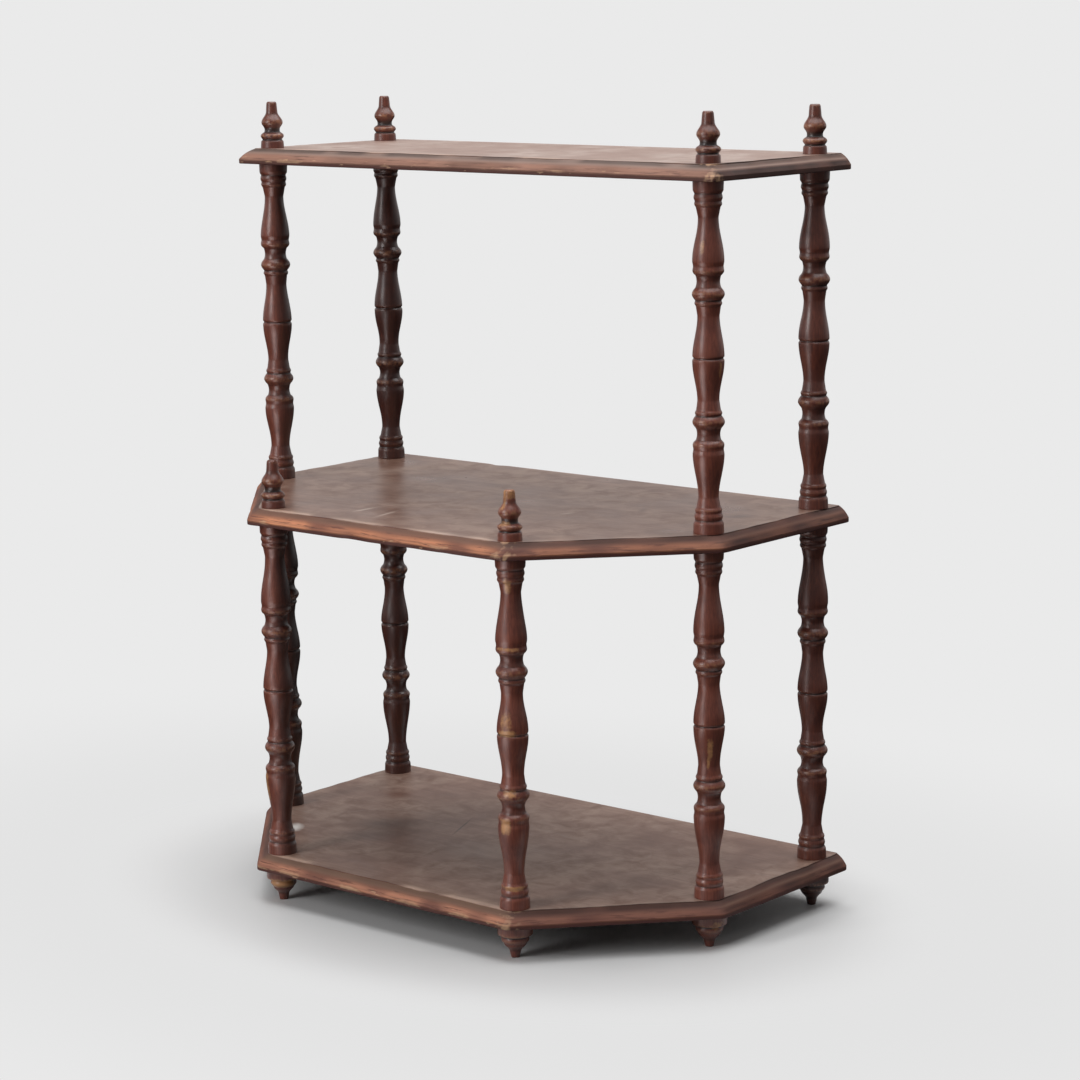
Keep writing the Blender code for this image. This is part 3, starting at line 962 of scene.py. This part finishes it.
    def shades(
        self, points: np.ndarray, rows: Rings, edge: np.ndarray, knocks: np.ndarray
    ) -> dict[str, np.ndarray]:
        """Gives the attributes that the finish reads.

        Args:
            points: Array of rings, columns and xyz.
            rows: The rings.
            edge: Edge number of each column.
            knocks: Depth of wear for each point.

        Returns:
            Arrays of rings and columns for moulding, quirk, rub, pale, deep, dull, margin and chip.
        """
        share, inset, drop, height = rows.share, rows.inset, rows.drop, rows.height
        on_top = (share == 1) & (inset >= 0.0005)
        moulding = np.where(on_top, 0.0, 1.0)[:, None] * np.ones(len(edge))

        # Dirt and painted shade in the step and along the rim of the face, and painted shade up the bevel,
        # darker towards the step, all broken by gaps.
        in_step = (share == 1) & (drop > 0)
        start = self.spread({Side.RIGHT_SLANT: 0.42, Side.LEFT_SLANT: 0.42}, 0.50, edge)
        end = np.clip((share[:, None] - start) / 0.26, 0, 1) ** 1.3
        rim = bell(inset, 0, 0.0011)
        step = np.where((share == 1)[:, None], np.where(in_step, 1.0, rim)[:, None], 0.85 * end)
        gaps = np.clip(0.85 + 0.3 * wander(points, 0.04, self.seed + 7), 0.3, 1)
        quirk = step * self.spread(self.dirt_and_shade, 0.0, edge) * gaps

        # Ribbed edges have a second dark line, and the underside is painted dark, painted shade that dims
        # the light bounced onto the floor under the board.
        ribbed_and_shaded = self.spread(self.ribs_and_shade, 0.0, edge)
        second = bell(share, 0.24, 0.13)[:, None] * ribbed_and_shaded
        second = np.maximum(second, 0.7 * (share < 0.3)[:, None] * ribbed_and_shaded**2)
        quirk = np.maximum(quirk, second * gaps)
        underside = (share == 0) & (inset > 0.0010)
        quirk = np.maximum(quirk, self.underside_shade * underside[:, None])

        # Rubbing: strongest on the arris and low on the bevel, and pale along the lip of the face.
        worn = self.spread(self.rub, self.least_rub, edge)
        uneven = np.clip(0.6 + 0.4 * wander(points, 0.05, self.seed + 8), 0, 1)
        lip = np.where(share == 1, bell(inset, 0, 0.0080), 0.0)
        crown = bell(share, 0, 0.15) * step_up(height, 0.0026, 0.0044) * (share < 1)
        flank = bell(share, 0.24, 0.22) * (share > 0) * (share < 1)
        rub = np.maximum(crown, 0.95 * flank)[:, None] * worn * np.clip(uneven + 0.2 * worn, 0, 1)

        # Tones: painted shade low on the edge, on the skirt under the arris and over the lower part of
        # ribbed edges, a dull band high on the bevel, a brown margin on the face.
        skirt_shade = np.where(share == 0, 0.9 * (1 - step_up(height, 0.0024, 0.0046)), 0.0)
        brow = step_up(share, 0.3, 0.65) * (share < 1)
        dull = brow[:, None] * np.clip(1.3 * worn - 0.2, 0, 1)
        strip = bell(share, 0.52, 0.12) * (share < 1)
        dull = np.maximum(dull, strip[:, None] * ribbed_and_shaded)
        margin = np.where(share == 1, bell(inset, 0, 0.016), 0.0)
        return {
            "moulding": moulding,
            "quirk": quirk * 0.9,
            "rub": np.clip(rub, 0, 1),
            "pale": np.clip(lip[:, None] * self.lip * worn * uneven, 0, 1),
            "deep": np.maximum(skirt_shade[:, None], 0.9 * (share < 0.6)[:, None] * ribbed_and_shaded),
            "dull": np.clip(dull, 0, 1),
            "margin": np.clip(margin[:, None] * np.clip(1.6 * worn - 0.6, 0, 1), 0, 1),
            "chip": knocks * 0.95,
        }


@dataclass(frozen=True)
class Lamp:
    """A soft box: its middle, the point that it faces, its width and height, and its power in watts."""

    name: str
    place: Triple
    target: Triple
    wide: float
    tall: float
    power: float

    def build(self) -> None:
        """Adds the lamp and turns it to its target."""
        data = bpy.data.lights.new(self.name, "AREA")
        data.shape = "RECTANGLE"
        data.size = self.wide
        data.size_y = self.tall
        data.energy = self.power
        lamp = bpy.data.objects.new(self.name, data)
        lamp.location = self.place
        back = Vector(self.place) - Vector(self.target)
        lamp.rotation_euler = back.to_track_quat("Z", "Y").to_euler()
        bpy.context.scene.collection.objects.link(lamp)


@dataclass
class Studio:
    """Pale floor, soft lights and the camera.

    The camera and reflections see the floor in its own tone, and bounced light meets the darker tone
    bounce. The strip is an ellipse of floor in front of the object that only reflections see. It is
    bright, as a soft box there would be, and gives the posts their long highlights.
    """

    eye: Triple = (1.8556, -2.1541, 0.8595)
    yaw: float = 39.862
    pitch: float = 10.295
    roll: float = -0.671
    lens: float = 101.74
    lamps: tuple[Lamp, ...] = (
        Lamp("overhead", (0.0, 0.30, 2.7), (0.0, 0.0, 0.3), 3.2, 3.2, 84),
        Lamp("key", (-0.88, -3.05, 1.65), (0.0, 0.0, 0.4), 1.0, 1.9, 42),
    )
    floor_radius: float = 9.0
    floor_drop: float = 0.0002
    floor_thickness: float = 0.01
    floor_rings: int = 24
    floor_sides: int = 96
    floor_roughness: float = 0.5
    floor_specular: float = 0.25
    pale: str = "#eaeaea"
    near: str = "#e3e3e3"
    floor: str = "#ececec"
    bounce: str = "#6a6a6a"
    footprint: tuple[float, float] = (0.34, 0.24)
    strip_middle: Triple = (-0.05, -1.5, 0)
    strip_reach: Triple = (0.5, 1.2, 1000)
    strip_glow: float = 5.0
    mirrored_floor: float = 0.03
    behind: Triple = (-0.64, 0.77, 0.0)
    sky: float = 0.31
    horizon: float = 0.0
    shade: float = 0.3
    wall: float = 0.68

    def build(self) -> None:
        """Sets up the camera, the lamps, the floor and the world."""
        self.add_camera()
        for lamp in self.lamps:
            lamp.build()
        self.add_floor()
        self.add_world()
        bpy.context.scene.view_settings.view_transform = "Standard"

    def add_camera(self) -> None:
        """Places the camera by its eye point and its yaw, pitch and roll."""
        data = bpy.data.cameras.new("camera")
        data.lens = self.lens
        data.sensor_width = 36.0
        data.clip_end = 50.0
        camera = bpy.data.objects.new("camera", data)
        camera.location = self.eye
        aim = Euler((math.radians(90 - self.pitch), 0, math.radians(self.yaw))).to_matrix()
        camera.rotation_euler = (aim @ Matrix.Rotation(math.radians(self.roll), 3, "Z")).to_euler()
        bpy.context.scene.collection.objects.link(camera)
        bpy.context.scene.camera = camera

    def add_floor(self) -> None:
        """Adds the floor, a round slab: rings of points on circles, out along its underside and back."""
        turn = np.linspace(0, 2 * np.pi, self.floor_sides, endpoint=False)
        reach = np.linspace(0.05, self.floor_radius, self.floor_rings)
        rings = reach[:, None, None] * np.stack([np.cos(turn), np.sin(turn)], axis=-1)
        level = np.full((self.floor_rings, self.floor_sides, 1), -self.floor_drop)
        upper = np.concatenate([rings, level], axis=-1)
        lower = upper - np.array([0, 0, self.floor_thickness])
        mesh = grid_mesh("floor", np.concatenate([lower, upper[::-1]]), {})
        mesh.shade_flat()
        mesh.materials.append(self.floor_material())
        floor = bpy.data.objects.new("floor", mesh)
        bpy.context.scene.collection.objects.link(floor)

    def floor_material(self) -> Material:
        """Makes painted concrete with a low gloss, which fades into the backdrop further out.

        Returns:
            The material.
        """
        made = bpy.data.materials.new("painted_concrete_floor")
        made.use_nodes = True
        tree = made.node_tree
        shader = tree.nodes["Principled BSDF"]
        shader.inputs["Roughness"].default_value = self.floor_roughness
        shader.inputs["Specular IOR Level"].default_value = self.floor_specular
        camera = add_node(tree, "LightPath", {}, output="Is Camera Ray")
        glossy = add_node(tree, "LightPath", {}, output="Is Glossy Ray")
        seen = add_node(tree, "Math", {0: camera, 1: glossy}, operation="MAXIMUM")
        paint = overlay(tree, linear(self.bounce), [(seen, *WHOLE, self.floor)])
        tree.links.new(paint, shader.inputs["Base Color"])

        # The shadow stays near the footprint, an ellipse, and the floor turns to the backdrop further out.
        place = add_node(tree, "TexCoord", {}, output="Object")
        wide, deep = self.footprint
        shift = {"Vector": place, "Scale": (1 / wide, 1 / deep, 0)}
        scaled = add_node(tree, "Mapping", shift)
        away = add_node(tree, "VectorMath", {0: scaled}, operation="LENGTH", output="Value")
        smooth = {"interpolation_type": "SMOOTHSTEP"}
        span = dict(zip(SPAN, (away, 1.0, 1.4, 1.0)))
        far = add_node(tree, "MapRange", span, **smooth)
        share = add_node(tree, "Math", {0: seen, 1: far}, operation="MULTIPLY")
        span = dict(zip(SPAN, (away, 1.4, 3.2, 1.0)))
        distant = add_node(tree, "MapRange", span, **smooth)
        tint = overlay(tree, linear(self.near), [(distant, *WHOLE, self.pale)])

        # Reflections see a dim floor with the bright strip on it.
        shift = {"Vector": place, "Location": self.strip_middle, "Scale": self.strip_reach}
        strip = add_node(tree, "Mapping", shift, vector_type="TEXTURE")
        reach = add_node(tree, "VectorMath", {0: strip}, operation="LENGTH", output="Value")
        span = dict(zip(SPAN, (reach, 1.0, 0.6, self.strip_glow))) | {"To Min": self.mirrored_floor}
        mirrored = add_node(tree, "MapRange", span)
        strength = add_node(tree, "Mix", {0: camera, 2: mirrored, 3: 1.0})
        glow = add_node(tree, "Emission", {"Color": tint, "Strength": strength})
        mixed = add_node(tree, "MixShader", {0: share, 1: shader.outputs[0], 2: glow})
        tree.links.new(mixed, tree.nodes["Material Output"].inputs["Surface"])
        return made

    def add_world(self) -> None:
        """Shows the pale backdrop to the camera, a wall to reflections, and a dimmer sky to the rest."""
        world = bpy.data.worlds.new("studio")
        bpy.context.scene.world = world
        world.use_nodes = True
        tree = world.node_tree
        camera = add_node(tree, "LightPath", {}, output="Is Camera Ray")
        glossy = add_node(tree, "LightPath", {}, output="Is Glossy Ray")
        way = add_node(tree, "TexCoord", {}, output="Generated")

        # The wall that only reflections see: pale behind the object, and dim above it.
        pair = {0: way, 1: self.behind}
        facing = add_node(tree, "VectorMath", pair, operation="DOT_PRODUCT", output="Value")
        span = dict(zip(SPAN, (facing, -0.3, 0.4, self.wall))) | {"To Min": self.shade}
        wall = add_node(tree, "MapRange", span)
        height = add_node(tree, "SeparateXYZ", {0: way}, output="Z")
        span = dict(zip(SPAN, (height, 0.25, 0.5, self.shade))) | {"To Min": 1.0}
        top = add_node(tree, "MapRange", span)
        wall = add_node(tree, "Math", {0: wall, 1: top}, operation="MULTIPLY")
        span = dict(zip(SPAN, (height, 0.1, 0.7, self.sky))) | {"To Min": self.horizon}
        sky = add_node(tree, "MapRange", span)
        dim = add_node(tree, "Mix", {0: glossy, 2: sky, 3: wall})
        level = add_node(tree, "Mix", {0: camera, 2: dim, 3: 1.0})
        backdrop = tree.nodes["Background"]
        backdrop.inputs["Color"].default_value = linear(self.pale)
        tree.links.new(level, backdrop.inputs["Strength"])


# Bare places on single posts, by CAD node; the ring and lit beads of the lower front right spindle
# and the vase of the upper side right spindle are partly painted highlights.
RUBS_AND_GLINTS = {
    "lower_spindle_front_right": (
        RubAndGlint(0.341, -66, 0.015, 0.008, 0.7),
        RubAndGlint(0.2850, -66, 0.0035, 0.026, 0.6),
        RubAndGlint(0.220, -78, 0.018, 0.013, 0.5),
        RubAndGlint(0.2085, -74, 0.006, 0.018, 0.8),
        # Partly a painted highlight on the ring.
        RubAndGlint(0.154, -66, 0.007, 0.014, 0.65),
        RubAndGlint(0.124, -83, 0.015, 0.010, 0.9),
        # Partly painted highlights on the lit beads.
        RubAndGlint(0.066, -55, 0.005, 0.024, 0.75),
    ),
    "lower_spindle_side_right": (RubAndGlint(0.186, -48, 0.020, 0.006, 0.7), RubAndGlint(0.172, -58, 0.012, 0.004, 0.6)),
    # The first place here is partly a painted highlight on the vase.
    "upper_spindle_side_right": (RubAndGlint(0.634, -78, 0.014, 0.004), RubAndGlint(0.527, -3, 0.014, 0.004)),
    "lower_spindle_front_left": (RubAndGlint(0.113, -118, 0.030, 0.007, 0.8),),
    "foot_front_left": (RubAndGlint(0.018, -55, 0.009, 0.028, 1.0),),
    "foot_side_right": (RubAndGlint(0.022, -25, 0.010, 0.010, 0.5),),
    "middle_finial_front_right": (
        RubAndGlint(0.4225, -60, 0.010, 0.060, 0.6),
        RubAndGlint(0.413, -95, 0.010, 0.010, 0.5),
        RubAndGlint(0.3965, -85, 0.005, 0.020, 0.6),
    ),
}

# Strength of the painted shade on one side of single posts, by CAD node.
SHADED_SIDE = {"lower_spindle_side_left": 0.8, "upper_spindle_side_left": 0.6, "lower_spindle_front_left": 0.6}


def add_boards() -> None:
    """Adds the three boards, each with its own wear."""
    wear = {Side.FRONT: 0.8, Side.RIGHT_SLANT: 0.5, Side.LEFT_SLANT: 0.5, Side.RIGHT: 0.25, Side.LEFT: 0.3}
    crisp = {Side.FRONT: 0.3, Side.RIGHT_SLANT: 0.4, Side.LEFT_SLANT: 0.4, Side.RIGHT: 0.7, Side.LEFT: 0.7}
    # Grime and painted shade in the step and up the bevel, by edge.
    dirt_and_shade = {Side.FRONT: 0.45, Side.RIGHT_SLANT: 0.8, Side.LEFT_SLANT: 0.8, Side.RIGHT: 0.9, Side.LEFT: 0.7}
    top = BoardFinish(
        "pine_stained_faded_top",
        dull="#957b6f",
        rubbed="#ab7c68",
        faded="#ab8f83",
        brown="#8b6e62",
        haze="#b3a299",
        edge="#85604f",
    )
    middle = BoardFinish(
        "pine_stained_faded_middle",
        dull="#7e5847",
        rubbed="#d68f68",
        roughness=0.33,
        marks=(
            Mark(-0.067, -0.106, 0.016, 0.0025, 88, "#cdb8aa", 0.7),
            Mark(-0.034, -0.112, 0.018, 0.0025, 100, "#cdb8aa", 0.7),
            Mark(0.100, -0.012, 0.008, 0.0020, 65, "#d2bfb2", 0.6),
            Mark(0.238, 0.068, 0.014, 0.009, 52, "#523a32", 0.55),
            Mark(0.146, 0.041, 0.014, 0.004, 118, "#5c433a", 0.4),
        ),
    )
    bottom = BoardFinish(
        "pine_stained_faded_bottom",
        dull="#80604f",
        rubbed="#c98a6c",
        roughness=0.42,
        marks=(
            Mark(-0.134, -0.010, 0.032, 0.020, 38, "#4c352e", 0.5),
            Mark(-0.068, 0.026, 0.030, 0.0012, 113, "#3c2822", 0.7),
            Mark(-0.1974, -0.0773, 0.007, 0.014, 40, "#f4eee8", 1.0),
            Mark(0.020, -0.020, 0.050, 0.030, 20, "#b09a8e", 0.35),
        ),
    )
    Board(
        "top_shelf",
        top.material(),
        "top_shelf_wood",
        11,
        posts=SHORT_POSTS,
        sides=(Side.BACK, Side.LEFT, Side.FRONT, Side.RIGHT),
        rub=wear,
        chips={Side.FRONT: 0.6},
        worn_corners={"side_right": 1.0},
        crisp=crisp | {Side.FRONT: 0.5},
        dirt_and_shade=dirt_and_shade | {Side.FRONT: 0.95},
        ribs_and_shade={Side.RIGHT: 1.0, Side.LEFT: 0.3},
        waver=0.0011,
    ).build()
    Board(
        "middle_shelf",
        middle.material(),
        "middle_shelf_wood",
        23,
        rub=wear | {Side.FRONT: 1.0},
        chips={Side.FRONT: 0.5},
        worn_corners={"front_right": 1.0},
        crisp=crisp,
        dirt_and_shade=dirt_and_shade,
        ribs_and_shade={Side.RIGHT: 0.7},
        nick=-0.14,
    ).build()
    Board(
        "bottom_shelf",
        bottom.material(),
        "bottom_shelf_wood",
        37,
        rub=wear | {Side.FRONT: 1.0, Side.RIGHT_SLANT: 0.3, Side.LEFT_SLANT: 0.3},
        chips={Side.FRONT: 0.95},
        worn_corners={"front_right": 1.0},
        crisp=crisp | {Side.FRONT: 0.2},
        dirt_and_shade=dirt_and_shade | {Side.FRONT: 0.3},
        ribs_and_shade={Side.RIGHT: 0.7},
    ).build()


def add_turnings() -> None:
    """Adds every spindle, finial and foot, with darker copies of the stain at the back and on most
    finials.

    The darkest copy, on the back left post and on both back feet, is painted shade.
    """
    stain = TurnedFinish().material()
    # The darkest copy is painted shade, on the back left post and both back feet.
    dark = TurnedFinish("birch_turned_stained_and_shaded_dark", deep="#3a1712", warm="#613325").material()
    mid = TurnedFinish("birch_turned_and_stained_mid", deep="#4e221b", warm="#844836").material()
    stains_and_shade = {"back_left": dark, "back_right": mid}
    knobs = dict.fromkeys(SHORT_POSTS, mid)
    feet = {"back_left": dark, "back_right": dark}
    front = ("front_left", "front_right")
    kinds = (
        (Spindle, "lower_spindle", "spindle_wood", POSTS, stains_and_shade, "bottom_shelf", "middle_shelf"),
        (Spindle, "upper_spindle", "spindle_wood", SHORT_POSTS, stains_and_shade, "middle_shelf", "top_shelf"),
        (Finial, "top_finial", "finial_wood", SHORT_POSTS, knobs, "top_shelf", None),
        (Finial, "middle_finial", "finial_wood", front, {"front_left": mid}, "middle_shelf", None),
        (Foot, "foot", "foot_wood", POSTS, feet, None, "bottom_shelf"),
    )
    seeds = iter(range(100, 200))
    for kind, name, slot, posts, darker, below, above in kinds:
        for post in posts:
            node = f"{name}_{post}"
            wood = darker.get(post, stain)
            # Rubbed places, some partly painted highlights, and the strength of the painted shade on one
            # side.
            wear = RUBS_AND_GLINTS.get(node, ()), SHADED_SIDE.get(node, 0.0)
            kind(node, wood, slot, next(seeds), below, above, *wear).build()


def main() -> None:
    logging.basicConfig(level=logging.INFO, format="%(message)s")
    add_boards()
    add_turnings()
    Studio().build()


if __name__ == "__main__":
    main()
